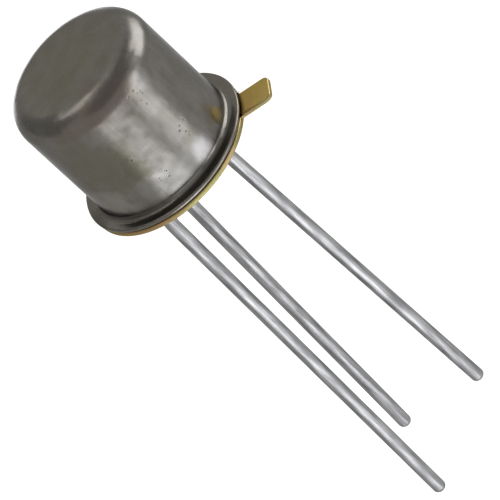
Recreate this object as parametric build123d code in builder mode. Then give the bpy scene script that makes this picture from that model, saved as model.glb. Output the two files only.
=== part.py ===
from build123d import *
import os
from math import cos, radians, sin, tan

# A small-signal PNP transistor in a welded metal can, in millimetres.
# The origin is the middle of the seating plane, the underside of the header's flange.
# +Z runs up the can and the leads hang down, +X points along the index tab, and angles
# are measured from the tab, anticlockwise as seen from above the can.

# Leads: tinned wires on the pin circle, each with its own length below the seating plane
pin_circle_radius = 1.27
lead_radius = 0.21
lead_tip_round = 0.16
emitter_angle = 45.0
lead_spacing = 90.0
emitter_length = 13.67
base_length = 13.39
collector_length = 14.76
post_height = 0.35
post_chamfer = 0.03

# The leads are sprung slightly apart: each one drops straight, bends at its knee and leans
lean_heading = 24.0
knee_drop = 0.25
emitter_lean = 1.50
base_lean = 2.16
collector_lean = 1.53
collector_shoulder_drop = 1.37
collector_shoulder_lean = 6.6
lead_bend_radius = 2.0

# Header: one gold-plated stamping with a flange, an index tab and a raised die platform
flange_thickness = 0.165
rim_round = 0.03
platform_height = 0.95
shell_wall = 0.20
platform_crown = 0.15
platform_foot = 0.08
tab_width = 0.97
tab_reach = 1.01
tab_corner = 0.20
tab_root_fillet = 0.10

# Glass: fills the header and holds the leads, short of the seating plane
glass_web = 0.21
glass_land = 0.13
glass_recess = 0.10
meniscus_drop = 0.07
meniscus_spread = 0.09

# Cap: a drawn can, welded on the header by the ring under its flange
platform_clearance = 0.12
can_wall = 0.22
can_height = 4.205
crown_radius = 0.72
foot_fillet = 0.15
mouth_round = 0.20
cap_flange_width = 0.395
cap_flange_thickness = 0.145
cap_flange_edge = 0.06
flange_overhang = 0.025
weld_ring_inset = 0.20
weld_ring_width = 0.14
weld_ring_height = 0.025

# Chip: alloyed to the platform, with a bond wire to each of the two insulated posts
die_side = 0.48
die_thickness = 0.17
preform_side = 0.62
preform_thickness = 0.03
pad_offset = 0.11
bond_wire_radius = 0.019
bond_foot_radius = 0.045
bond_foot_height = 0.05
bond_wire_rise = 0.22

# Radii, stacked outwards from the pin circle so that each piece clears the one inside it
lead_hole_radius = lead_radius + glass_web
shell_bore_radius = pin_circle_radius + lead_hole_radius + glass_land
platform_radius = shell_bore_radius + shell_wall
can_bore_radius = platform_radius + platform_clearance
can_radius = can_bore_radius + can_wall
cap_flange_radius = can_radius + cap_flange_width
header_flange_radius = cap_flange_radius - flange_overhang
weld_ring_radius = header_flange_radius - weld_ring_inset

# Heights above the seating plane
platform_underside = platform_height - shell_wall
cap_flange_underside = flange_thickness + weld_ring_height
cap_flange_top = cap_flange_underside + cap_flange_thickness
can_top = cap_flange_top + can_height
post_top = platform_height + post_height
die_top = platform_height + preform_thickness + die_thickness

# Places of the leads on the pin circle
base_angle = emitter_angle + lead_spacing
collector_angle = base_angle + lead_spacing


def polar(radius, angle, height=0.0):
    """The point at a radius, an angle from the tab in degrees, and a height."""
    return Vector(radius * cos(radians(angle)), radius * sin(radians(angle)), height)


emitter_spot = polar(pin_circle_radius, emitter_angle)
base_spot = polar(pin_circle_radius, base_angle)
collector_spot = polar(pin_circle_radius, collector_angle)
post_spots = [emitter_spot, base_spot]
lead_spots = [emitter_spot, base_spot, collector_spot]


def rounded_outline(corners):
    """A closed outline from corners, each a (radius, height, rounding) of the section."""
    return FilletPolyline(
        *[(radius, height) for radius, height, _ in corners],
        radius=[rounding for _, _, rounding in corners],
        close=True,
        mode=Mode.PRIVATE,
    )


# The cap's section: crown, wall, foot, flange, weld ring, mouth and the bore behind them
cap_corners = [
    (0, can_top, 0),
    (can_radius, can_top, crown_radius),
    (can_radius, cap_flange_top, foot_fillet),
    (cap_flange_radius, cap_flange_top, cap_flange_edge),
    (cap_flange_radius, cap_flange_underside, cap_flange_edge),
    (weld_ring_radius + weld_ring_width / 2, cap_flange_underside, 0),
    (weld_ring_radius + weld_ring_width / 4, flange_thickness, 0),
    (weld_ring_radius - weld_ring_width / 4, flange_thickness, 0),
    (weld_ring_radius - weld_ring_width / 2, cap_flange_underside, 0),
    (can_bore_radius, cap_flange_underside, mouth_round),
    (can_bore_radius, can_top - can_wall, crown_radius - can_wall),
    (0, can_top - can_wall, 0),
]
with BuildPart() as cap:
    with BuildSketch(Plane.XZ):
        with BuildLine():
            add(rounded_outline(cap_corners))
        make_face()
    revolve(axis=Axis.Z)

# The header's section: platform, wall, foot, flange and the bore that the glass fills
header_corners = [
    (0, platform_height, 0),
    (platform_radius, platform_height, platform_crown),
    (platform_radius, flange_thickness, platform_foot),
    (header_flange_radius, flange_thickness, 0),
    (header_flange_radius, 0, 0),
    (shell_bore_radius, 0, 0),
    (shell_bore_radius, platform_underside, 0),
    (0, platform_underside, 0),
]
with BuildPart() as header:
    with BuildSketch(Plane.XZ):
        with BuildLine():
            add(rounded_outline(header_corners))
        make_face()
    revolve(axis=Axis.Z)
    seat_edges = header.edges().group_by(Axis.Z)[0]
    fillet(seat_edges, rim_round)

    # The tab runs out of the rim in the same sheet, above the rounding of its lower edge
    tab_end = header_flange_radius + tab_reach
    with BuildSketch(Plane.XY.offset(rim_round)) as flange_outline:
        Circle(header_flange_radius)
        with Locations((tab_end / 2, 0)):
            Rectangle(tab_end, tab_width)
        fillet(flange_outline.vertices().group_by(Axis.X)[-1], tab_corner)
        fillet(flange_outline.vertices().group_by(Axis.X)[0], tab_root_fillet)
        Circle(platform_radius, mode=Mode.SUBTRACT)
    extrude(amount=flange_thickness - rim_round)
    flat_faces = header.faces().filter_by(Axis.Z)
    flange_face = flat_faces.filter_by_position(
        Axis.Z, flange_thickness / 2, platform_underside / 2
    )[0]
    fillet(flange_face.outer_wire().edges(), rim_round)

    with BuildSketch(Plane.XY.offset(platform_height)):
        with Locations(*post_spots):
            Circle(lead_hole_radius)
    extrude(amount=-shell_wall, mode=Mode.SUBTRACT)

# The glass fills the shell and its two holes, and climbs a little down each lead
with BuildPart() as glass_seal:
    with BuildSketch(Plane.XY.offset(glass_recess)):
        Circle(shell_bore_radius)
    extrude(amount=platform_underside - glass_recess)
    with BuildSketch(Plane.XY.offset(platform_underside)):
        with Locations(*post_spots):
            Circle(lead_hole_radius)
    extrude(amount=platform_height - platform_underside)
    with Locations(*[spot + (0, 0, glass_recess - meniscus_drop / 2) for spot in lead_spots]):
        Cone(lead_radius + meniscus_spread / 4, lead_radius + meniscus_spread, meniscus_drop)
    with Locations(*lead_spots):
        Cylinder(lead_radius, 2 * platform_height, mode=Mode.SUBTRACT)


def lean_drop(heading, lean, drop):
    """The move of a run that drops by this height while it leans towards a heading."""
    return polar(drop * tan(radians(lean)), heading, -drop)


def lead(route):
    """A round wire swept along a route from its upper end, with a rounded lower tip."""
    with BuildPart() as wire:
        with BuildLine() as path:
            FilletPolyline(*route, radius=lead_bend_radius)
        with BuildSketch(Plane(origin=path.line @ 0, z_dir=path.line % 0)):
            Circle(lead_radius)
        sweep()
        tip = wire.faces().filter_by(GeomType.PLANE).sort_by(Axis.Z)[0]
        fillet(tip.edges(), lead_tip_round)
    return wire


def post(wire):
    """Chamfers the upper end of an insulated lead, where its bond wire lands."""
    with BuildPart() as topped:
        add(wire.part)
        top = topped.faces().filter_by(GeomType.PLANE).sort_by(Axis.Z)[-1]
        chamfer(top.edges(), post_chamfer)
    return topped


def knee(spot):
    """Where a lead bends, just below the seating plane."""
    return spot + (0, 0, -knee_drop)


emitter_run = lean_drop(lean_heading, emitter_lean, emitter_length - knee_drop)
emitter_lead = post(
    lead([emitter_spot + (0, 0, post_top), knee(emitter_spot), knee(emitter_spot) + emitter_run])
)

base_run = lean_drop(lean_heading + 180, base_lean, base_length - knee_drop)
base_lead = post(lead([base_spot + (0, 0, post_top), knee(base_spot), knee(base_spot) + base_run]))

collector_shoulder = knee(collector_spot) + lean_drop(
    lean_heading + 180, collector_shoulder_lean, collector_shoulder_drop - knee_drop
)
collector_tip = collector_shoulder + lean_drop(
    lean_heading + 180, collector_lean, collector_length - collector_shoulder_drop
)
collector_lead = lead(
    [
        collector_spot + (0, 0, platform_underside),
        knee(collector_spot),
        collector_shoulder,
        collector_tip,
    ]
)

# The preform is the gold alloy between the chip and the platform
with BuildPart() as die_preform:
    with BuildSketch(Plane.XY.offset(platform_height)):
        Rectangle(preform_side, preform_side)
    extrude(amount=preform_thickness)

with BuildPart() as silicon_die:
    with BuildSketch(Plane.XY.offset(platform_height + preform_thickness)):
        Rectangle(die_side, die_side)
    extrude(amount=die_thickness)


def bond_wire(pad, landing):
    """A fine wire that arches from a pad on the chip to the top of a post, on two feet."""
    with BuildPart() as wire:
        for end in (pad, landing):
            with BuildSketch(Plane.XY.offset(end.Z)):
                with Locations((end.X, end.Y)):
                    Circle(bond_foot_radius)
            extrude(amount=bond_foot_height)
        foot_middle = Vector(0, 0, bond_foot_height / 2)
        crest = (pad + landing) / 2 + (0, 0, bond_wire_rise)
        with BuildLine() as path:
            ThreePointArc(pad + foot_middle, crest, landing + foot_middle)
        with BuildSketch(Plane(origin=path.line @ 0, z_dir=path.line % 0)):
            Circle(bond_wire_radius)
        sweep()
    return wire


emitter_bond_wire = bond_wire(
    polar(pad_offset, emitter_angle, die_top), emitter_spot + (0, 0, post_top)
)
base_bond_wire = bond_wire(polar(pad_offset, base_angle, die_top), base_spot + (0, 0, post_top))

pieces = {
    "cap": cap,
    "header": header,
    "glass_seal": glass_seal,
    "emitter_lead": emitter_lead,
    "base_lead": base_lead,
    "collector_lead": collector_lead,
    "die_preform": die_preform,
    "silicon_die": silicon_die,
    "emitter_bond_wire": emitter_bond_wire,
    "base_bond_wire": base_bond_wire,
}
os.makedirs("parts", exist_ok=True)
for label, piece in pieces.items():
    piece.part.label = label
    export_step(piece.part, f"parts/{label}.step")
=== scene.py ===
"""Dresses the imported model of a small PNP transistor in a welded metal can.

The can, the gold-plated header with its index tab, the sealing glass and the three tinned
leads are modelled again with the roundings and the finish of the real ones. Sizes are in
millimetres unless a name says otherwise, +Z runs up the can, and angles are measured from
the tab in degrees.
"""

import logging
import math
from collections.abc import Callable, Sequence
from dataclasses import dataclass, field
from enum import Enum
from itertools import pairwise
from typing import ClassVar

import bmesh
import bpy
from mathutils import Matrix, Quaternion, Vector


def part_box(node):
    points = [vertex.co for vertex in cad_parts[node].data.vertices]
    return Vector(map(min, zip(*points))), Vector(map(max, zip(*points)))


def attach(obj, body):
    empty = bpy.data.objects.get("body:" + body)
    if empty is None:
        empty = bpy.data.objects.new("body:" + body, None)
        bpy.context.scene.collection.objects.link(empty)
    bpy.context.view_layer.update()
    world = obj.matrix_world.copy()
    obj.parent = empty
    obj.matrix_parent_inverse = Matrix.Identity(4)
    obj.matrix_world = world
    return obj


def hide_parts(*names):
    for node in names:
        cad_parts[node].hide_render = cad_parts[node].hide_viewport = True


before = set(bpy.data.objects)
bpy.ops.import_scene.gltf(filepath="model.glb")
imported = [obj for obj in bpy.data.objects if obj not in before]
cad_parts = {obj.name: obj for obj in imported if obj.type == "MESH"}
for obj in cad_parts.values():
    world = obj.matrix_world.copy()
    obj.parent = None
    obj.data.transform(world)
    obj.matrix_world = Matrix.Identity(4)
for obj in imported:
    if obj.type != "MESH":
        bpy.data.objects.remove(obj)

Colour = tuple[float, float, float]
Spot = tuple[float, float, float]
Span = tuple[float, float]
Piece = bpy.types.Object
Socket = bpy.types.NodeSocket

MM = 0.001
BODY = "root"

# Sizes and angles that several pieces share
PIN_CIRCLE_RADIUS = 1.27
LEAD_RADIUS = 0.21
POST_ANGLES = (45.0, 135.0)
LEAD_ANGLES = (*POST_ANGLES, 225.0)
PLATFORM_UNDERSIDE = 0.75
HEADER_BORE_RADIUS = 1.82
POST_HOLE_RADIUS = 0.42

# How near two places count as one when edges are picked, and when points are merged
CLOSE = 0.002
SAME = CLOSE / 10

# Edges bent by more than the crease stay sharp, and flat faces keep their own shading
CREASE = 35.0
FLAT_WEIGHT = 90

# The sides of the drilled holes and of the glass collars
HOLE_SIDES = 64

# The span that a noise cloud mostly keeps to, its middle, and the span of a yes or no
CLOUD: Span = (0.3, 0.7)
CLOUD_MIDDLE = 0.5
SWITCH: Span = (0.0, 1.0)

# The factor and the two colours among the inputs of a Mix node, and its colour result
MIX_INPUTS = (0, 6, 7)
MIX_RESULT = 2

WHITE: Colour = (1.0, 1.0, 1.0)
COOL: Colour = (0.975, 1.0, 1.06)

log = logging.getLogger("transistor")


def polar(radius: float, angle: float, height: float = 0.0) -> Vector:
    """The point at a radius, an angle from the tab in degrees, and a height."""
    turn = math.radians(angle)
    return Vector((radius * math.cos(turn), radius * math.sin(turn), height))


def clear_selection() -> None:
    """Leaves nothing selected, so that an operator acts only on what is picked next."""
    bpy.ops.object.select_all(action="DESELECT")


def take_up(piece: Piece) -> None:
    """Makes a piece the only selected one and the active one.

    Args:
        piece: the piece to take up.
    """
    clear_selection()
    piece.select_set(True)
    bpy.context.view_layer.objects.active = piece


def settle() -> None:
    """Writes the place of the selected piece into its mesh."""
    bpy.ops.object.transform_apply(location=True, rotation=False, scale=False)


def named(name: str) -> Piece:
    """Names the primitive that was added last and settles it in its place.

    Args:
        name: the new piece's name.

    Returns:
        The new piece.
    """
    piece = bpy.context.object
    piece.name = piece.data.name = name
    settle()
    return piece


@dataclass(frozen=True)
class Round:
    """The rounding of an edge: its radius, and in how many steps it is made."""

    radius: float
    steps: int


@dataclass(frozen=True)
class Corner:
    """A corner of a turned section: its radius, its height and its rounding, if it has one."""

    radius: float
    height: float
    rounding: Round | None = None

    def holds(self, point: Vector) -> bool:
        """Whether a point lies on this corner's ring."""
        return (
            abs(math.hypot(point.x, point.y) - self.radius) < CLOSE
            and abs(point.z - self.height) < CLOSE
        )


class Part(Enum):
    """What can be picked on a piece: its select mode, and where its mesh keeps it."""

    EDGE = "edges"
    FACE = "faces"


class Bench:
    """A piece held in edit mode, where its edges and faces are picked by their place."""

    def __init__(self, piece: Piece) -> None:
        """Takes the piece to work on."""
        self.piece = piece

    def __enter__(self) -> "Bench":
        """Opens edit mode with nothing selected.

        Returns:
            This bench.
        """
        take_up(self.piece)
        bpy.ops.object.mode_set(mode="EDIT")
        bpy.ops.mesh.select_all(action="DESELECT")
        return self

    def __exit__(self, *_: object) -> None:
        """Goes back to object mode."""
        bpy.ops.object.mode_set(mode="OBJECT")

    def pick(self, part: Part, test: Callable[..., bool]) -> None:
        """Selects the edges or the faces that pass a test, and nothing else.

        Args:
            part: whether edges or faces are picked.
            test: takes an edge or a face of the mesh.
        """
        bpy.ops.mesh.select_mode(type=part.name)
        bpy.ops.mesh.select_all(action="DESELECT")
        mesh = bmesh.from_edit_mesh(self.piece.data)
        for found in filter(test, list(getattr(mesh, part.value))):
            found.select_set(True)
        mesh.select_flush_mode()
        bmesh.update_edit_mesh(self.piece.data)

    def pick_edges(self, test: Callable[[Vector, Vector], bool]) -> None:
        """Selects the edges whose two ends, in millimetres, pass a test."""
        self.pick(Part.EDGE, lambda edge: test(*(end.co / MM for end in edge.verts)))

    def pick_faces(self, test: Callable[[Vector, Vector], bool]) -> None:
        """Selects the faces whose middle, in millimetres, and normal pass a test."""
        self.pick(Part.FACE, lambda face: test(face.calc_center_median() / MM, face.normal))

    def pick_ring(self, corner: Corner) -> None:
        """Selects the ring of edges that a corner of a turned section makes."""
        self.pick_edges(lambda a, b: corner.holds(a) and corner.holds(b))

    def bevel(self, rounding: Round) -> None:
        """Rounds the selected edges."""
        bpy.ops.mesh.bevel(
            offset=rounding.radius * MM, segments=rounding.steps, profile=0.5, affect="EDGES"
        )


def outward(piece: Piece) -> None:
    """Merges doubled points and turns every face of a closed piece outwards.

    Args:
        piece: the closed piece.
    """
    with Bench(piece):
        bpy.ops.mesh.select_all(action="SELECT")
        bpy.ops.mesh.remove_doubles(threshold=SAME * MM)
        bpy.ops.mesh.normals_make_consistent(inside=False)


def smooth(piece: Piece) -> None:
    """Shades a piece smooth up to the crease angle, with its flat faces left flat.

    Args:
        piece: the piece to shade.
    """
    take_up(piece)
    bpy.ops.object.shade_smooth_by_angle(angle=math.radians(CREASE))
    weights = piece.modifiers.new("flat faces stay flat", "WEIGHTED_NORMAL")
    weights.keep_sharp = True
    weights.weight = FLAT_WEIGHT
    bpy.ops.object.modifier_apply(modifier=weights.name)


def turned(name: str, corners: Sequence[Corner], sides: int) -> Piece:
    """A turned solid whose section starts and ends on flat discs across the axis.

    Args:
        name: the piece's name.
        corners: the section's corners in order, without the two points on the axis.
        sides: how many sides each ring has.

    Returns:
        The closed piece, with its corners rounded.
    """
    first, last = corners[0], corners[-1]
    clear_selection()
    bpy.ops.mesh.primitive_circle_add(
        vertices=sides,
        radius=first.radius * MM,
        fill_type="NOTHING",
        location=(0, 0, first.height * MM),
    )
    piece = named(name)
    with Bench(piece) as bench:
        bench.pick_ring(first)
        for here, there in pairwise(corners):
            drop = (0, 0, (there.height - here.height) * MM)
            bpy.ops.mesh.extrude_edges_move(TRANSFORM_OT_translate={"value": drop})
            spread = there.radius / here.radius
            bpy.ops.transform.resize(
                value=(spread, spread, 1), center_override=(0, 0, there.height * MM)
            )
        for end in (first, last):
            bench.pick_ring(end)
            bpy.ops.mesh.edge_face_add()
    outward(piece)
    with Bench(piece) as bench:
        for corner in corners:
            if corner.rounding:
                bench.pick_ring(corner)
                bench.bevel(corner.rounding)
    return piece


class Merge(Enum):
    """What another solid does to a piece."""

    JOINED = "UNION"
    CUT_OUT = "DIFFERENCE"


def combine(piece: Piece, other: Piece, merge: Merge) -> None:
    """Joins another solid to a piece or cuts it out of the piece, and clears it away.

    Args:
        piece: the piece that stays.
        other: the other solid, which is used up.
        merge: what the other solid does to the piece.
    """
    take_up(piece)
    step = piece.modifiers.new("combined", "BOOLEAN")
    step.operation = merge.value
    step.solver = "EXACT"
    step.object = other
    bpy.ops.object.modifier_apply(modifier=step.name)
    bpy.data.objects.remove(other)


def bore(piece: Piece, middle: Vector, radius: float, depth: float) -> None:
    """Cuts a round upright hole out of a piece.

    Args:
        piece: the piece to cut.
        middle: the middle of the hole.
        radius: the hole's radius.
        depth: how far the hole runs, half above its middle and half below.
    """
    clear_selection()
    bpy.ops.mesh.primitive_cylinder_add(
        vertices=HOLE_SIDES, radius=radius * MM, depth=depth * MM, location=middle * MM
    )
    combine(piece, named("drill"), Merge.CUT_OUT)


class Nodes:
    """The nodes of a material or of the world, wired as they are added."""

    def __init__(self, owner: bpy.types.Material | bpy.types.World, output: str) -> None:
        """Empties the owner's nodes.

        Args:
            owner: the material or the world that the nodes belong to.
            output: the kind of its output node.
        """
        owner.use_nodes = True
        self.owner = owner
        self.tree = owner.node_tree
        self.tree.nodes.clear()
        self.output = self.add(output)

    @classmethod
    def of_material(cls, name: str) -> "Nodes":
        """The nodes of a new material."""
        return cls(bpy.data.materials.new(name), "ShaderNodeOutputMaterial")

    def add(self, kind: str, **settings: object) -> bpy.types.Node:
        """Adds a node.

        Args:
            kind: the node's kind.
            settings: the node's own settings, apart from its inputs.

        Returns:
            The new node.
        """
        node = self.tree.nodes.new(kind)
        for setting, value in settings.items():
            setattr(node, setting, value)
        return node

    def give(self, socket: Socket, value: Socket | Spot | float) -> None:
        """Links an input to another node's output, or sets it.

        Args:
            socket: the input.
            value: an output, a colour, three numbers or one.
        """
        if isinstance(value, Socket):
            self.tree.links.new(value, socket)
        elif socket.type == "RGBA":
            socket.default_value = (*value, 1.0)
        else:
            socket.default_value = value

    def feed(self, node: bpy.types.Node, **values: Socket | Spot | float) -> bpy.types.Node:
        """Sets or links a node's inputs.

        Args:
            node: the node to feed.
            values: input names, with _ for a space, each with a value or an output.

        Returns:
            The same node.
        """
        for name, value in values.items():
            self.give(node.inputs[name.replace("_", " ")], value)
        return node

    def place(self, grain: Spot, centre: Spot = (0.0, 0.0, 0.0)) -> Socket:
        """The piece's own coordinates, from a centre and in units of a grain's size.

        Args:
            grain: the grain's size along X, Y and Z.
            centre: the place that becomes the origin.

        Returns:
            The coordinates.
        """
        where = self.add("ShaderNodeTexCoord").outputs["Object"]
        mapping = self.add("ShaderNodeMapping")
        scale = tuple(1 / (size * MM) for size in grain)
        shift = tuple(-middle / size for middle, size in zip(centre, grain))
        return self.feed(mapping, Vector=where, Location=shift, Scale=scale).outputs["Vector"]

    def noise(self, grain: Spot, detail: float = 2.0, seed: float = 0.0) -> Socket:
        """A cloud of grains.

        Args:
            grain: the grain's size along X, Y and Z.
            detail: how many finer layers the cloud has.
            seed: picks another cloud of the same kind.

        Returns:
            The cloud's value.
        """
        cloud = self.add("ShaderNodeTexNoise", noise_dimensions="4D")
        where = self.place(grain)
        return self.feed(cloud, Vector=where, Scale=1.0, Detail=detail, W=seed).outputs["Fac"]

    def spread(self, value: Socket, low: float, high: float, span: Span = CLOUD) -> Socket:
        """Stretches a span of values to new ends, and keeps the result between them.

        Args:
            value: the value to stretch.
            low: the result at the span's start.
            high: the result at the span's end.
            span: the span's start and end.

        Returns:
            The stretched value.
        """
        mapped = self.add("ShaderNodeMapRange")
        start, end = span
        return self.feed(
            mapped, Value=value, From_Min=start, From_Max=end, To_Min=low, To_Max=high
        ).outputs["Result"]

    def blend(self, share: Socket, one: Socket | Colour, other: Socket | Colour) -> Socket:
        """Mixes two colours.

        Args:
            share: how much of the second colour is taken.
            one: the first colour.
            other: the second colour.

        Returns:
            The mixed colour.
        """
        mix = self.add("ShaderNodeMix", data_type="RGBA")
        for index, value in zip(MIX_INPUTS, (share, one, other)):
            self.give(mix.inputs[index], value)
        return mix.outputs[MIX_RESULT]

    def sum_up(self, operation: str, one: Socket | float, other: Socket | float = 0.0) -> Socket:
        """Works out a sum.

        Args:
            operation: the operation, as the Math node names it.
            one: the first value.
            other: the second value, where the operation takes one.

        Returns:
            The result.
        """
        result = self.add("ShaderNodeMath", operation=operation)
        for socket, value in zip(result.inputs, (one, other)):
            self.give(socket, value)
        return result.outputs[0]

    def swell(self, height: Socket, relief: float, under: Socket | None = None) -> Socket:
        """Makes the surface look raised where a height is greater.

        Args:
            height: the height, from 0 to 1.
            relief: how far apart 0 and 1 are.
            under: the normal of the relief below this one, if there is one.

        Returns:
            The normal of the raised surface.
        """
        bump = self.add("ShaderNodeBump")
        self.feed(bump, Height=height, Distance=relief * MM, Strength=1.0)
        if under is not None:
            self.feed(bump, Normal=under)
        return bump.outputs["Normal"]

    def glow(self, strength: Socket | float, kind: str = "ShaderNodeEmission") -> Socket:
        """White light of a strength, from a surface or from the world around it."""
        return self.feed(self.add(kind), Color=WHITE, Strength=strength).outputs[0]

    def show(self, surface: Socket) -> bpy.types.Material | bpy.types.World:
        """Ends the nodes in a surface and gives back what they belong to."""
        self.feed(self.output, Surface=surface)
        return self.owner


@dataclass(frozen=True)
class Patch:
    """A place on the surface with a ragged edge: its middle and its reach along X, Y, Z."""

    centre: Spot
    reach: Spot
    ragged: float
    seed: float

    edge: ClassVar[Span] = (0.55, 1.15)
    grain_share: ClassVar[float] = 0.8
    detail: ClassVar[float] = 2.5

    def mask(self, nodes: Nodes) -> Socket:
        """How far a point belongs to the patch.

        Args:
            nodes: the nodes of the material.

        Returns:
            1 inside the patch, 0 well outside it.
        """
        length = nodes.add("ShaderNodeVectorMath", operation="LENGTH")
        nodes.give(length.inputs[0], nodes.place(self.reach, self.centre))
        grain = (min(self.reach) * self.grain_share,) * 3
        cloud = nodes.noise(grain, self.detail, self.seed)
        stray = nodes.sum_up("SUBTRACT", cloud, CLOUD_MIDDLE)
        stray = nodes.sum_up("MULTIPLY", stray, 2 * self.ragged)
        away = nodes.sum_up("ADD", length.outputs["Value"], stray)
        return nodes.spread(away, 1.0, 0.0, self.edge)


@dataclass(frozen=True)
class StainAndPaintedLight(Patch):
    """A patch that is tinted with a colour. Some are stains, and some are painted highlights,
    painted shade and painted reflections.
    """

    colour: Colour
    strength: float


@dataclass(frozen=True)
class Pits:
    """Small dark pits in the plating, crowded in a few patches."""

    spacing: float
    size: float
    colour: Colour
    patches: tuple[Patch, ...]

    chance: ClassVar[Span] = (0.2, 0.9)
    growth: ClassVar[Span] = (0.15, 1.4)
    floor_share: ClassVar[float] = 0.45
    width_to_depth: ClassVar[float] = 4.0

    @property
    def depth(self) -> float:
        """How deep the pits look."""
        return self.size / self.width_to_depth

    def mask(self, nodes: Nodes) -> Socket:
        """Where the pits are.

        Args:
            nodes: the nodes of the material.

        Returns:
            1 in a pit, 0 elsewhere.
        """
        cells = nodes.add("ShaderNodeTexVoronoi", feature="F1")
        nodes.feed(cells, Vector=nodes.place((self.spacing,) * 3), Scale=1.0)
        growth = nodes.spread(cells.outputs["Color"], *self.growth, self.chance)
        away = nodes.sum_up("DIVIDE", cells.outputs["Distance"], growth)
        rim = self.size / self.spacing
        hole = nodes.spread(away, 1.0, 0.0, (rim * self.floor_share, rim))
        crowd = self.patches[0].mask(nodes)
        for patch in self.patches[1:]:
            crowd = nodes.sum_up("MAXIMUM", crowd, patch.mask(nodes))
        return nodes.sum_up("MULTIPLY", hole, crowd)


@dataclass(frozen=True)
class Cut:
    """The sheared edge of a stamping, where the faces stand upright: rougher and paler."""

    colour: Colour
    roughness: float

    steepness: ClassVar[Span] = (0.45, 0.85)

    def mask(self, nodes: Nodes) -> Socket:
        """Where the sheared edge is.

        Args:
            nodes: the nodes of the material.

        Returns:
            1 on an upright face, 0 on a level one.
        """
        normal = nodes.add("ShaderNodeSeparateXYZ")
        nodes.feed(normal, Vector=nodes.add("ShaderNodeNewGeometry").outputs["Normal"])
        level = nodes.sum_up("ABSOLUTE", normal.outputs["Z"])
        return nodes.spread(level, 1.0, 0.0, self.steepness)


@dataclass(frozen=True)
class Metal:
    """A plated or tinned metal: its colours, its sheen and the grain of its surface."""

    name: str
    colour: Colour
    tone: Colour
    roughness: Span
    grain: Spot
    relief: float
    fine_grain: Spot
    fine_relief: float
    streak_grain: Spot = (0.09, 0.09, 2.4)
    streak_relief: float = 0.0
    edge_tint: Colour = WHITE
    stains_and_painted_light: tuple[StainAndPaintedLight, ...] = ()
    pits: Pits | None = None
    cut: Cut | None = None

    streak_share: ClassVar[float] = 0.4
    mottling: ClassVar[Span] = (0.36, 0.64)

    def make(self) -> bpy.types.Material:
        """The material of this metal.

        Returns:
            The new material.
        """
        nodes = Nodes.of_material(self.name)
        shader = nodes.add("ShaderNodeBsdfPrincipled")
        broad = nodes.noise(self.grain, detail=1.2, seed=1.0)
        streaks = nodes.noise(self.streak_grain, seed=4.0)
        surface = nodes.swell(broad, self.relief)
        surface = nodes.swell(nodes.noise(self.fine_grain, seed=2.0), self.fine_relief, surface)
        if self.streak_relief:
            surface = nodes.swell(streaks, self.streak_relief, surface)
        streaky = nodes.sum_up("MULTIPLY", streaks, self.streak_share)
        cloudy = nodes.sum_up("MULTIPLY", broad, 1 - self.streak_share)
        shade = nodes.spread(nodes.sum_up("ADD", streaky, cloudy), 0.0, 1.0, self.mottling)
        tint = nodes.blend(shade, self.colour, self.tone)
        sheen = nodes.spread(nodes.noise(self.grain, seed=3.0), *self.roughness)
        if self.cut:
            upright = self.cut.mask(nodes)
            tint = nodes.blend(upright, tint, self.cut.colour)
            rougher = nodes.sum_up("MULTIPLY", upright, self.cut.roughness)
            sheen = nodes.sum_up("MAXIMUM", sheen, rougher)
        for tinted_patch in self.stains_and_painted_light:
            share = nodes.sum_up("MULTIPLY", tinted_patch.mask(nodes), tinted_patch.strength)
            tint = nodes.blend(share, tint, tinted_patch.colour)
        if self.pits:
            holes = self.pits.mask(nodes)
            tint = nodes.blend(holes, tint, self.pits.colour)
            height = nodes.sum_up("SUBTRACT", 1.0, holes)
            surface = nodes.swell(height, self.pits.depth, surface)
        nodes.feed(
            shader,
            Base_Color=tint,
            Metallic=1.0,
            Roughness=sheen,
            Normal=surface,
            Specular_Tint=self.edge_tint,
        )
        return nodes.show(shader.outputs["BSDF"])


@dataclass(frozen=True)
class Dark:
    """A smooth dark solid, such as sealing glass or silicon, with a faint cloud in it."""

    name: str
    colour: Colour
    tone: Colour
    roughness: float
    grain: float
    coat: float

    def make(self) -> bpy.types.Material:
        """The material of this solid.

        Returns:
            The new material.
        """
        nodes = Nodes.of_material(self.name)
        shader = nodes.add("ShaderNodeBsdfPrincipled")
        cloud = nodes.noise((self.grain,) * 3, detail=3.0)
        nodes.feed(
            shader,
            Base_Color=nodes.blend(nodes.spread(cloud, 0.0, 1.0), self.colour, self.tone),
            Roughness=self.roughness,
            Coat_Weight=self.coat,
        )
        return nodes.show(shader.outputs["BSDF"])


class Finish(Enum):
    """The finishes of the object, each with the name that the log gives it."""

    NICKEL = "nickel_can"
    GOLD = "gold_plate"
    TIN = "tinned_wire"
    GLASS = "seal_glass"
    ALLOY = "gold_alloy"
    SILICON = "silicon"
    BOND = "bond_gold"
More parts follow.
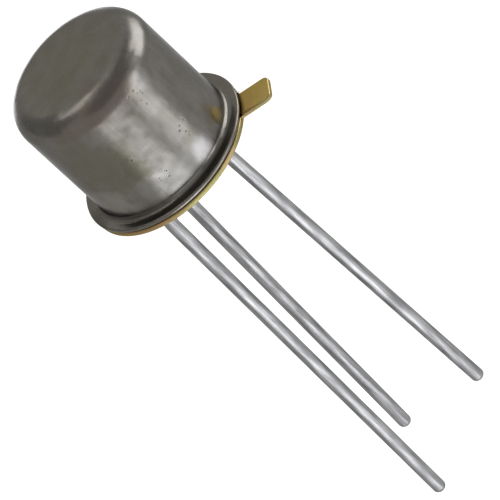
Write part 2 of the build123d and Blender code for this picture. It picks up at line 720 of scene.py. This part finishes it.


# Each patch, and each stain or patch of painted light, lists its middle, its reach, how ragged
# its edge is, and its seed. A stain or patch of painted light adds its colour and its strength.
FINISHES: dict[Finish, Metal | Dark] = {
    Finish.NICKEL: Metal(
        name="satin_nickel",
        colour=(0.132, 0.125, 0.114),
        tone=(0.104, 0.097, 0.083),
        roughness=(0.23, 0.34),
        grain=(0.52, 0.52, 0.60),
        relief=0.019,
        fine_grain=(0.11, 0.11, 0.11),
        fine_relief=0.0003,
        streak_relief=0.0004,
        edge_tint=(0.55, 0.55, 0.55),
        stains_and_painted_light=(
            # The top, tinted olive and darkened as painted shade, and the front of the crown
            # below it
            StainAndPaintedLight((0, 0, 5.0), (2.6, 2.6, 0.62), 0.3, 0.0, (0.116, 0.110, 0.073), 0.75),
            StainAndPaintedLight((0.5, -1.9, 4.12), (1.9, 1.1, 0.45), 0.5, 1.0, (0.114, 0.091, 0.077), 0.55),
            # Darker and paler places down the front wall
            StainAndPaintedLight((-0.9, -2.2, 2.6), (1.2, 0.8, 1.3), 1.0, 2.0, (0.100, 0.092, 0.070), 0.6),
            StainAndPaintedLight((0.1, -2.4, 1.9), (0.36, 0.5, 1.2), 1.2, 3.0, (0.085, 0.080, 0.060), 0.8),
            StainAndPaintedLight((-1.7, -1.8, 0.9), (1.1, 1.1, 0.7), 0.9, 8.0, (0.168, 0.158, 0.140), 0.8),
            # The flange, tinted brown, partly as a painted reflection of the can's wall; a dark
            # line along the foot, painted shade in the crease where the wall meets the flange;
            # and the left of the flange, darkened as painted shade
            StainAndPaintedLight((0, 0, 0.26), (4.0, 4.0, 0.20), 0.3, 9.0, (0.108, 0.095, 0.079), 0.85),
            StainAndPaintedLight((-0.9, -0.9, 0.43), (3.2, 3.2, 0.06), 0.3, 14.0, (0.040, 0.037, 0.031), 0.85),
            StainAndPaintedLight((-2.55, -1.48, 0.30), (0.45, 0.9, 0.3), 0.5, 15.0, (0.066, 0.061, 0.048), 0.8),
            # Painted highlights: brighter places low on the wall, below the crown and by the tab
            StainAndPaintedLight((0.75, -2.2, 0.90), (1.1, 0.9, 0.72), 0.6, 10.0, (0.170, 0.163, 0.152), 0.8),
            StainAndPaintedLight((1.7, -1.65, 0.80), (0.45, 0.45, 0.40), 0.4, 11.0, (0.18, 0.175, 0.17), 0.8),
            StainAndPaintedLight((1.82, -1.50, 3.80), (0.36, 0.36, 0.40), 0.5, 13.0, (0.160, 0.153, 0.144), 0.8),
            StainAndPaintedLight((2.29, -0.57, 0.74), (0.30, 0.26, 0.24), 0.3, 12.0, (0.205, 0.205, 0.190), 0.6),
            # The back
            StainAndPaintedLight((2.0, 1.6, 2.4), (1.4, 1.4, 1.5), 1.2, 4.0, (0.110, 0.098, 0.080), 0.5),
            StainAndPaintedLight((-2.0, 1.2, 1.6), (1.2, 1.2, 1.3), 1.2, 5.0, (0.108, 0.095, 0.082), 0.5),
        ),
        pits=Pits(
            spacing=0.135,
            size=0.042,
            colour=(0.035, 0.032, 0.028),
            patches=(
                Patch((1.60, -1.74, 3.50), (0.40, 0.40, 0.42), 0.5, 1.0),
                Patch((1.72, -1.62, 1.62), (0.26, 0.26, 0.36), 0.5, 2.0),
                Patch((0.17, -2.35, 2.20), (0.14, 0.14, 0.18), 0.5, 4.0),
                Patch((0.60, -2.28, 1.18), (0.22, 0.22, 0.26), 0.5, 5.0),
                Patch((-1.90, 1.40, 2.90), (0.45, 0.45, 0.60), 0.5, 6.0),
                Patch((1.30, 1.97, 1.50), (0.35, 0.35, 0.45), 0.5, 7.0),
            ),
        ),
    ),
    Finish.GOLD: Metal(
        name="gold_plating",
        colour=(0.305, 0.212, 0.074),
        tone=(0.252, 0.190, 0.056),
        roughness=(0.22, 0.32),
        grain=(0.4, 0.4, 0.4),
        relief=0.004,
        fine_grain=(0.06, 0.06, 0.06),
        fine_relief=0.0002,
        edge_tint=(0.6, 0.55, 0.4),
        stains_and_painted_light=(
            # Along the rim, and the root of the tab
            StainAndPaintedLight((-1.0, -2.5, 0.1), (1.3, 0.9, 0.5), 0.5, 1.0, (0.270, 0.165, 0.080), 0.7),
            StainAndPaintedLight((1.3, -2.4, 0.1), (0.9, 0.6, 0.4), 0.8, 2.0, (0.235, 0.220, 0.085), 0.6),
            StainAndPaintedLight((2.9, 0.0, 0.16), (0.30, 0.9, 0.3), 0.6, 3.0, (0.250, 0.150, 0.060), 0.5),
            StainAndPaintedLight((2.05, -1.8, 0.08), (0.45, 0.45, 0.3), 0.5, 4.0, (0.310, 0.222, 0.110), 0.75),
        ),
        cut=Cut(colour=(0.188, 0.157, 0.070), roughness=0.55),
    ),
    Finish.TIN: Metal(
        name="tinned_wire",
        colour=(0.246, 0.244, 0.242),
        tone=(0.112, 0.111, 0.110),
        roughness=(0.33, 0.50),
        grain=(0.12, 0.12, 0.9),
        relief=0.002,
        fine_grain=(0.055, 0.055, 0.11),
        fine_relief=0.0028,
        streak_grain=(0.026, 0.026, 1.6),
        streak_relief=0.0032,
        edge_tint=(0.6, 0.6, 0.6),
    ),
    Finish.GLASS: Dark(
        name="sealing_glass",
        colour=(0.012, 0.020, 0.017),
        tone=(0.020, 0.031, 0.026),
        roughness=0.12,
        grain=0.5,
        coat=0.3,
    ),
    Finish.ALLOY: Metal(
        name="gold_alloy",
        colour=(0.40, 0.27, 0.10),
        tone=(0.30, 0.20, 0.08),
        roughness=(0.30, 0.45),
        grain=(0.08, 0.08, 0.08),
        relief=0.001,
        fine_grain=(0.02, 0.02, 0.02),
        fine_relief=0.0002,
    ),
    Finish.SILICON: Dark(
        name="polished_silicon",
        colour=(0.022, 0.024, 0.031),
        tone=(0.030, 0.033, 0.042),
        roughness=0.10,
        grain=0.15,
        coat=0.2,
    ),
    Finish.BOND: Metal(
        name="bond_gold",
        colour=(0.60, 0.40, 0.15),
        tone=(0.52, 0.34, 0.12),
        roughness=(0.15, 0.22),
        grain=(0.05, 0.05, 0.05),
        relief=0.0002,
        fine_grain=(0.01, 0.01, 0.01),
        fine_relief=0.0001,
    ),
}


class Wardrobe:
    """Makes each finish once and hands it to the pieces that wear it."""

    def __init__(self) -> None:
        """Makes every finish's material."""
        self.materials = {finish: spec.make() for finish, spec in FINISHES.items()}

    def hand_over(self, piece: Piece, finish: Finish, *nodes: str) -> None:
        """Smooths and dresses a built piece, and puts it in place of its CAD nodes.

        Args:
            piece: the piece.
            finish: the finish that it wears.
            nodes: the CAD nodes that it replaces.
        """
        smooth(piece)
        piece.data.materials.clear()
        piece.data.materials.append(self.materials[finish])
        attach(piece, BODY)
        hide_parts(*nodes)
        log.info("%s: %d faces, in %s", piece.name, len(piece.data.polygons), finish.value)

    def dress_node(self, node: str, finish: Finish) -> None:
        """Gives a CAD node, which keeps its shape, one finish all over.

        Args:
            node: the node's name.
            finish: its finish.
        """
        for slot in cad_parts[node].material_slots:
            slot.material = self.materials[finish]
        log.info("%s keeps its CAD shape, in %s", node, finish.value)


@dataclass
class Cap:
    """The drawn can, with its rounded crown, its foot and the flange that is welded."""

    can_radius: float = 2.36
    can_wall: float = 0.22
    crown: Round = Round(0.72, 16)
    foot_rise: float = 0.075
    foot_spread: float = 0.12
    foot_curve: Round = Round(0.072, 5)
    flange_thickness: float = 0.145
    flange_edge: Round = Round(0.06, 5)
    mouth: Round = Round(0.20, 6)
    weld_ring_radius: float = 2.53
    weld_ring_width: float = 0.14
    weld_ring_height: float = 0.025
    sides: int = 256

    def build(self, wardrobe: Wardrobe) -> None:
        """Turns the can and dresses it in satin nickel.

        Args:
            wardrobe: where the finish comes from.
        """
        low, high = (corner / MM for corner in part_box("cap"))
        underside = low.z + self.weld_ring_height
        flange_top = underside + self.flange_thickness
        inside = self.can_radius - self.can_wall
        ceiling = Round(self.crown.radius - self.can_wall, self.crown.steps // 2)
        ring, width = self.weld_ring_radius, self.weld_ring_width
        corners = [
            Corner(self.can_radius, high.z, self.crown),
            Corner(self.can_radius, flange_top + self.foot_rise, self.foot_curve),
            Corner(self.can_radius + self.foot_spread, flange_top, self.foot_curve),
            Corner(high.x, flange_top, self.flange_edge),
            Corner(high.x, underside, self.flange_edge),
            Corner(ring + width / 2, underside),
            Corner(ring + width / 4, low.z),
            Corner(ring - width / 4, low.z),
            Corner(ring - width / 2, underside),
            Corner(inside, underside, self.mouth),
            Corner(inside, high.z - self.can_wall, ceiling),
        ]
        can = turned("can", corners, self.sides)
        wardrobe.hand_over(can, Finish.NICKEL, "cap")


@dataclass
class Header:
    """The gold-plated stamping: a rim with the index tab, and the platform in the can.

    The seat's edges are rounded to just short of the tab's underside, at the tab's lift.
    """

    flange_thickness: float = 0.165
    rim_radius: float = 2.73
    tab_lift: float = 0.03
    platform_radius: float = 2.02
    platform_edge: Round = Round(0.15, 5)
    platform_foot: Round = Round(0.08, 4)
    shell_wall: float = 0.20
    tab_width: float = 0.97
    tab_corner: Round = Round(0.20, 8)
    tab_root: Round = Round(0.10, 4)
    top_edge: Round = Round(0.05, 4)
    seat_edge: Round = Round(0.0297, 3)
    sides: int = 352

    def build(self, wardrobe: Wardrobe) -> None:
        """Turns the header, draws its tab out of the rim and dresses it in gold.

        Args:
            wardrobe: where the finish comes from.
        """
        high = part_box("header")[1] / MM
        corners = [
            Corner(self.platform_radius, high.z, self.platform_edge),
            Corner(self.platform_radius, self.flange_thickness, self.platform_foot),
            Corner(self.rim_radius, self.flange_thickness),
            Corner(self.rim_radius, self.tab_lift),
            Corner(self.rim_radius, 0),
            Corner(HEADER_BORE_RADIUS, 0),
            Corner(HEADER_BORE_RADIUS, high.z - self.shell_wall),
        ]
        header = turned("header_plate", corners, self.sides)
        with Bench(header) as bench:
            self.draw_tab(bench, high.x)
            self.round_edges(bench)
        for angle in POST_ANGLES:
            middle = polar(PIN_CIRCLE_RADIUS, angle, high.z - self.shell_wall / 2)
            bore(header, middle, POST_HOLE_RADIUS, 2 * self.shell_wall)
        outward(header)
        wardrobe.hand_over(header, Finish.GOLD, "header")

    def draw_tab(self, bench: Bench, tab_end: float) -> None:
        """Draws the tab out of the rim, flat at its end and with rounded corners.

        Args:
            bench: the header on the bench.
            tab_end: how far the tab reaches from the axis.
        """
        half = self.tab_width / 2
        facing_out = 0.9
        bench.pick_faces(
            lambda middle, normal: normal.x > facing_out
            and middle.x > HEADER_BORE_RADIUS + self.shell_wall + CLOSE
            and abs(middle.y) < half + CLOSE
            and self.tab_lift < middle.z < self.flange_thickness
        )
        bpy.ops.mesh.extrude_region_move(
            TRANSFORM_OT_translate={"value": ((tab_end - self.rim_radius) * MM, 0, 0)}
        )
        bpy.ops.transform.resize(value=(0, 1, 1), center_override=(tab_end * MM, 0, 0))

        # The lines along the tab's flat faces go, and its sides stay
        bench.pick_edges(
            lambda a, b: max(a.x, b.x) > self.rim_radius + CLOSE
            and abs(a.y) < half - 2 * CLOSE
            and abs(a.y - b.y) < CLOSE
        )
        bpy.ops.mesh.dissolve_edges(use_verts=True)
        bench.pick_edges(
            lambda a, b: min(a.x, b.x) > tab_end - CLOSE and abs(a.z - b.z) > CLOSE
        )
        bench.bevel(self.tab_corner)
        root = math.sqrt(self.rim_radius**2 - half**2)
        bench.pick_edges(
            lambda a, b: abs(a.x - root) < 2 * CLOSE
            and abs(b.x - root) < 2 * CLOSE
            and abs(abs(a.y) - half) < 2 * CLOSE
            and abs(a.z - b.z) > self.tab_lift
            and min(a.z, b.z) > CLOSE
        )
        bench.bevel(self.tab_root)

    def round_edges(self, bench: Bench) -> None:
        """Rounds the rim's two edges and the upper edge of the tab.

        Args:
            bench: the header on the bench.
        """
        top = self.flange_thickness
        inner = self.platform_radius + self.platform_foot.radius + 2 * CLOSE
        bench.pick_edges(
            lambda a, b: abs(a.z - top) < CLOSE
            and abs(b.z - top) < CLOSE
            and min(a.xy.length, b.xy.length) > inner
        )
        bench.bevel(self.top_edge)
        for radius in (self.rim_radius, HEADER_BORE_RADIUS):
            bench.pick_ring(Corner(radius, 0))
            bench.bevel(self.seat_edge)


@dataclass
class Seal:
    """The glass that fills the header, with a curved edge where it wets a wall or a lead."""

    recess: float = 0.10
    edge_drop: float = 0.035
    edge_spread: float = 0.14
    collar_lip: float = 0.008
    collar_drop: float = 0.07
    collar_spread: float = 0.10
    collar_radius: float = 0.36
    collar_depth: float = 0.20
    collar_sink: float = 0.004
    contact_angle: float = 65.0
    curve_steps: int = 8
    sides: int = 192

    def build(self, wardrobe: Wardrobe) -> None:
        """Fills the header with glass, adds a collar round each lead and bores it out.

        Args:
            wardrobe: where the finish comes from.
        """
        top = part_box("glass_seal")[1].z / MM
        edge = self.wetted(HEADER_BORE_RADIUS, self.recess, -self.edge_spread, self.edge_drop)
        filling = [Corner(HEADER_BORE_RADIUS, PLATFORM_UNDERSIDE), *edge]
        seal = turned("glass_bead", filling, self.sides)
        inside = PLATFORM_UNDERSIDE - self.collar_depth
        for angle in LEAD_ANGLES:
            head = [Corner(self.collar_radius, inside)]
            if angle in POST_ANGLES:
                head = [Corner(POST_HOLE_RADIUS, top), Corner(POST_HOLE_RADIUS, inside)]
            combine(seal, self.collar(head, angle), Merge.JOINED)
        for angle in LEAD_ANGLES:
            bore(seal, polar(PIN_CIRCLE_RADIUS, angle), LEAD_RADIUS, 4 * top)
        outward(seal)
        wardrobe.hand_over(seal, Finish.GLASS, "glass_seal")

    def collar(self, head: list[Corner], angle: float) -> Piece:
        """The solid of glass about one lead.

        Args:
            head: the corners of its upper end, in the header.
            angle: the lead's angle from the tab.

        Returns:
            The collar in its place, down to its lip on the lead.
        """
        wall = LEAD_RADIUS + self.collar_lip
        face = self.recess + self.collar_sink
        curve = self.wetted(wall, face, self.collar_spread, self.collar_drop + self.collar_sink)
        shoulder = Corner(self.collar_radius, self.recess + self.collar_depth)
        collar = turned("collar", [*head, shoulder, *reversed(curve)], HOLE_SIDES)
        take_up(collar)
        bpy.ops.transform.translate(value=polar(PIN_CIRCLE_RADIUS, angle) * MM)
        settle()
        return collar

    def wetted(self, wall: float, face: float, spread: float, drop: float) -> list[Corner]:
        """The curve of glass that wets a round wall.

        Args:
            wall: the wall's radius.
            face: the height of the level face.
            spread: how far from the wall the curve starts, below 0 towards the axis.
            drop: how far below the face it ends on the wall.

        Returns:
            The curve's corners, from the wall to the level face.
        """
        full = math.radians(self.contact_angle)
        corners = []
        for step in range(self.curve_steps, -1, -1):
            turn = full * step / self.curve_steps
            out = 1 - math.sin(turn) / math.sin(full)
            down = (1 - math.cos(turn)) / (1 - math.cos(full))
            corners.append(Corner(wall + spread * out, face - drop * down))
        return corners


@dataclass(frozen=True)
class Bend:
    """A bend of a lead: how far down it lies, and the lean below it."""

    drop: float
    lean: float


@dataclass
class Lead:
    """A tinned wire on the pin circle that hangs down and leans a little."""

    node: str
    angle: float
    bends: tuple[Bend, ...]
    heading: float
    length: float
    top: float
    chamfer: Round | None = None
    tip: Round = Round(0.16, 6)
    curve: Round = Round(2.0, 4)
    sides: int = 48

    def build(self, wardrobe: Wardrobe) -> None:
        """Draws the wire down along its bends, rounds its tip and tins it.

        Args:
            wardrobe: where the finish comes from.
        """
        spot = polar(PIN_CIRCLE_RADIUS, self.angle, self.top)
        clear_selection()
        bpy.ops.mesh.primitive_circle_add(
            vertices=self.sides, radius=LEAD_RADIUS * MM, fill_type="NGON", location=spot * MM
        )
        wire = named(self.node.replace("_lead", "_wire"))
        end = self.draw_down(wire, spot)
        outward(wire)
        with Bench(wire) as bench:
            bench.pick_edges(
                lambda a, b: min((a - end).length, (b - end).length) > LEAD_RADIUS - CLOSE
                and max((a - end).length, (b - end).length) < LEAD_RADIUS + CLOSE
            )
            bench.bevel(self.tip)
            if self.chamfer:
                bench.pick_edges(lambda a, b: min(a.z, b.z) > self.top - CLOSE)
                bench.bevel(self.chamfer)
        wardrobe.hand_over(wire, Finish.TIN, self.node)

    def draw_down(self, wire: Piece, spot: Vector) -> Vector:
        """Extrudes and spins the wire along its bends.

        Args:
            wire: the disc at the wire's upper end.
            spot: the middle of that disc.

        Returns:
            The middle of the disc at the lower end.
        """
        side = polar(1, self.heading)
        across = Vector((0, 0, 1)).cross(side)
        point, corner = spot, Vector((spot.x, spot.y, 0))
        drop, lean = 0.0, 0.0
        with Bench(wire):
            bpy.ops.mesh.select_mode(type="FACE")
            bpy.ops.mesh.select_all(action="SELECT")
            for bend in self.bends:
                corner = self.below(corner, side, lean, drop, bend.drop)
                turn = math.radians(bend.lean - lean)
                short = self.curve.radius * math.tan(abs(turn) / 2)
                before, after = self.run(side, lean), self.run(side, bend.lean)
                start = corner - before * short
                self.draw_on(point, start)
                inward = before.cross(across) * math.copysign(1, turn)
                centre = start + inward * self.curve.radius
                bpy.ops.mesh.spin(
                    steps=self.curve.steps, angle=turn, center=centre * MM, axis=across
                )
                point = corner + after * short
                drop, lean = bend.drop, bend.lean
            end = self.below(corner, side, lean, drop, self.length)
            self.draw_on(point, end)
        return end

    @staticmethod
    def run(side: Vector, lean: float) -> Vector:
        """The direction of a run that leans to a side by an angle."""
        turn = math.radians(lean)
        return side * math.sin(turn) - Vector((0, 0, math.cos(turn)))

    @staticmethod
    def below(corner: Vector, side: Vector, lean: float, drop: float, depth: float) -> Vector:
        """Where a run that leans to a side comes to a depth.

        Args:
            corner: where the run starts.
            side: the side that it leans to.
            lean: how far it leans.
            drop: the depth of the corner below the seating plane.
            depth: the depth to come to.

        Returns:
            The point at that depth.
        """
        point = corner + side * ((depth - drop) * math.tan(math.radians(lean)))
        point.z = -depth
        return point

    @staticmethod
    def draw_on(point: Vector, end: Vector) -> None:
        """Draws the wire's lower face straight on, from a point to an end."""
        bpy.ops.mesh.extrude_region_move(TRANSFORM_OT_translate={"value": (end - point) * MM})


@dataclass(frozen=True)
class Stand:
    """Something flat that stands round the can and faces it."""

    name: str
    azimuth: float
    elevation: float
    distance: float
    width: float
    height: float
    brightness: float
    roll: float = 0.0

    def set_up(self, thing: Piece, aim: Vector) -> None:
        """Puts the thing in its place, so that it faces the aim.

        Args:
            thing: the lamp or the card.
            aim: the point that it faces.
        """
        level = self.distance * math.cos(math.radians(self.elevation))
        rise = self.distance * math.sin(math.radians(self.elevation))
        place = aim + polar(level, self.azimuth, rise)
        thing.location = place * MM
        facing = (aim - place).to_track_quat("-Z", "Y")
        roll = Quaternion((0, 0, 1), math.radians(self.roll))
        thing.rotation_euler = (facing @ roll).to_euler()
        thing.visible_camera = False


@dataclass(frozen=True)
class Lamp(Stand):
    """A soft lamp."""

    colour: Colour = WHITE

    def make(self, aim: Vector) -> None:
        """Hangs the lamp.

        Args:
            aim: the point that it faces.
        """
        light = bpy.data.lights.new(self.name, "AREA")
        light.shape = "RECTANGLE"
        light.size, light.size_y = self.width * MM, self.height * MM
        light.energy = self.brightness * math.pi * light.size * light.size_y
        light.color = self.colour
        lamp = bpy.data.objects.new(self.name, light)
        bpy.context.scene.collection.objects.link(lamp)
        self.set_up(lamp, aim)


@dataclass(frozen=True)
class Card(Stand):
    """A grey card that only reflections see, so that the metal isn't white all over."""

    def make(self, aim: Vector) -> None:
        """Stands the card.

        Args:
            aim: the point that it faces.
        """
        clear_selection()
        bpy.ops.mesh.primitive_plane_add(size=1)
        card = bpy.context.object
        card.name = card.data.name = self.name
        bpy.ops.transform.resize(value=(self.width * MM, self.height * MM, 1))
        bpy.ops.object.transform_apply(location=False, rotation=False, scale=True)
        nodes = Nodes.of_material(self.name)
        card.data.materials.append(nodes.show(nodes.glow(self.brightness)))
        self.set_up(card, aim)
        card.visible_diffuse = card.visible_shadow = card.visible_transmission = False


@dataclass
class Studio:
    """A pale floor in a white room, with soft lamps round the can and a long lens."""

    floor_height: float = -45.0
    floor_size: float = 4000.0
    floor_colour: Colour = (0.80, 0.80, 0.79)
    floor_lift: float = 0.30
    room_light: float = 0.80
    lens: float = 424.8
    sensor: float = 36.0
    clip_metres: Span = (0.005, 20.0)
    camera_place: Spot = (57.131, -129.171, 90.575)
    camera_right: Spot = (0.78737, -0.09668, -0.60885)
    camera_up: Spot = (0.51573, 0.64437, 0.56463)
    aim: Spot = (0.0, 0.0, 2.0)

    # Name, azimuth, elevation, distance, width, height and brightness
    kit: tuple[Lamp | Card, ...] = (
        Lamp("front_lamp", -81, -45, 38, 26, 25, 4.7, colour=COOL),
        Lamp("right_lamp", -27, -20, 60, 23, 74, 3.4, roll=-20, colour=COOL),
        Lamp("crown_lamp", 38, 11, 80, 84, 46, 4.6, colour=COOL),
        Lamp("tab_lamp", 34, 33, 80, 22, 16, 6.0),
        Lamp("back_lamp", 152, 70, 90, 46, 27, 2.5, colour=COOL),
        Lamp("rear_lamp", 118, -9, 60, 40, 17, 3.2, colour=COOL),
        Card("upper_card", -20, 58, 100, 275, 100, 0.55),
        Card("left_card", 178, 36, 100, 130, 105, 0.55),
    )

    def build(self) -> None:
        """Sets up the floor, the room, the lamps and the camera."""
        self.lay_floor()
        self.light_room()
        for item in self.kit:
            item.make(Vector(self.aim))
        self.set_camera()
        bpy.context.scene.view_settings.view_transform = "Standard"

    @staticmethod
    def seen(nodes: Nodes) -> Socket:
        """Tells the rays that look at the studio from those that light the part.

        Args:
            nodes: the nodes of the floor or the room.

        Returns:
            1 for a ray from the camera, a reflection or a view through glass, else 0.
        """
        path = nodes.add("ShaderNodeLightPath")
        either = nodes.sum_up(
            "MAXIMUM", path.outputs["Is Camera Ray"], path.outputs["Is Glossy Ray"]
        )
        return nodes.sum_up("MAXIMUM", either, path.outputs["Is Transmission Ray"])

    def lay_floor(self) -> None:
        """Lays the pale floor below the tips of the leads."""
        clear_selection()
        bpy.ops.mesh.primitive_plane_add(
            size=self.floor_size * MM, location=(0, 0, self.floor_height * MM)
        )
        floor = bpy.context.object
        floor.name = "floor"
        nodes = Nodes.of_material("pale_floor")
        paint = nodes.feed(nodes.add("ShaderNodeBsdfDiffuse"), Color=self.floor_colour)
        glow = nodes.glow(nodes.spread(self.seen(nodes), 0.0, self.floor_lift, SWITCH))
        both = nodes.add("ShaderNodeAddShader")
        for socket, shader in zip(both.inputs, (paint.outputs[0], glow)):
            nodes.give(socket, shader)
        floor.data.materials.append(nodes.show(both.outputs[0]))

    def light_room(self) -> None:
        """Makes the room white to look at, and a little dimmer as a light."""
        world = bpy.data.worlds.new("white_room")
        bpy.context.scene.world = world
        nodes = Nodes(world, "ShaderNodeOutputWorld")
        strength = nodes.spread(self.seen(nodes), self.room_light, 1.0, SWITCH)
        nodes.show(nodes.glow(strength, "ShaderNodeBackground"))

    def set_camera(self) -> None:
        """Sets the camera with a long lens, high in front and rolled."""
        data = bpy.data.cameras.new("camera")
        data.lens = self.lens
        data.sensor_width = self.sensor
        data.clip_start, data.clip_end = self.clip_metres
        camera = bpy.data.objects.new("camera", data)
        bpy.context.scene.collection.objects.link(camera)
        right, up = Vector(self.camera_right).normalized(), Vector(self.camera_up).normalized()
        turn = Matrix((right, up, right.cross(up))).transposed()
        place = Vector(self.camera_place) * MM
        camera.matrix_world = Matrix.Translation(place) @ turn.to_4x4()
        bpy.context.scene.camera = camera


@dataclass
class Transistor:
    """The whole part: can, header, glass and leads, and the pieces sealed in the can."""

    wardrobe: Wardrobe = field(default_factory=Wardrobe)
    cap: Cap = field(default_factory=Cap)
    header: Header = field(default_factory=Header)
    seal: Seal = field(default_factory=Seal)
    lean_heading: float = 24.0
    knee_drop: float = 0.25
    shoulder_drop: float = 1.37
    post_top: float = 1.30
    post_chamfer: Round = Round(0.03, 1)

    sealed: ClassVar[dict[str, Finish]] = {
        "die_preform": Finish.ALLOY,
        "silicon_die": Finish.SILICON,
        "emitter_bond_wire": Finish.BOND,
        "base_bond_wire": Finish.BOND,
    }

    def leads(self) -> list[Lead]:
        """The three wires, each as long and as bent as its own.

        Returns:
            The emitter, the base and the collector lead.
        """
        emitter, base, collector = LEAD_ANGLES
        ahead, back = self.lean_heading, self.lean_heading + 180
        knee, shoulder = self.knee_drop, self.shoulder_drop
        post = {"top": self.post_top, "chamfer": self.post_chamfer}
        sprung = (Bend(knee, 6.6), Bend(shoulder, 1.53))
        return [
            Lead("emitter_lead", emitter, (Bend(knee, 1.50),), ahead, length=13.67, **post),
            Lead("base_lead", base, (Bend(knee, 2.16),), back, length=13.39, **post),
            Lead("collector_lead", collector, sprung, back, length=14.76, top=PLATFORM_UNDERSIDE),
        ]

    def build(self) -> None:
        """Builds the visible pieces and dresses the ones that keep their CAD shape."""
        for piece in (self.cap, self.header, self.seal, *self.leads()):
            piece.build(self.wardrobe)
        for node, finish in self.sealed.items():
            self.wardrobe.dress_node(node, finish)


def main() -> None:
    """Builds the part and the studio."""
    logging.basicConfig(level=logging.INFO, format="%(message)s")
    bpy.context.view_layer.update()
    Transistor().build()
    Studio().build()


if __name__ == "__main__":
    main()
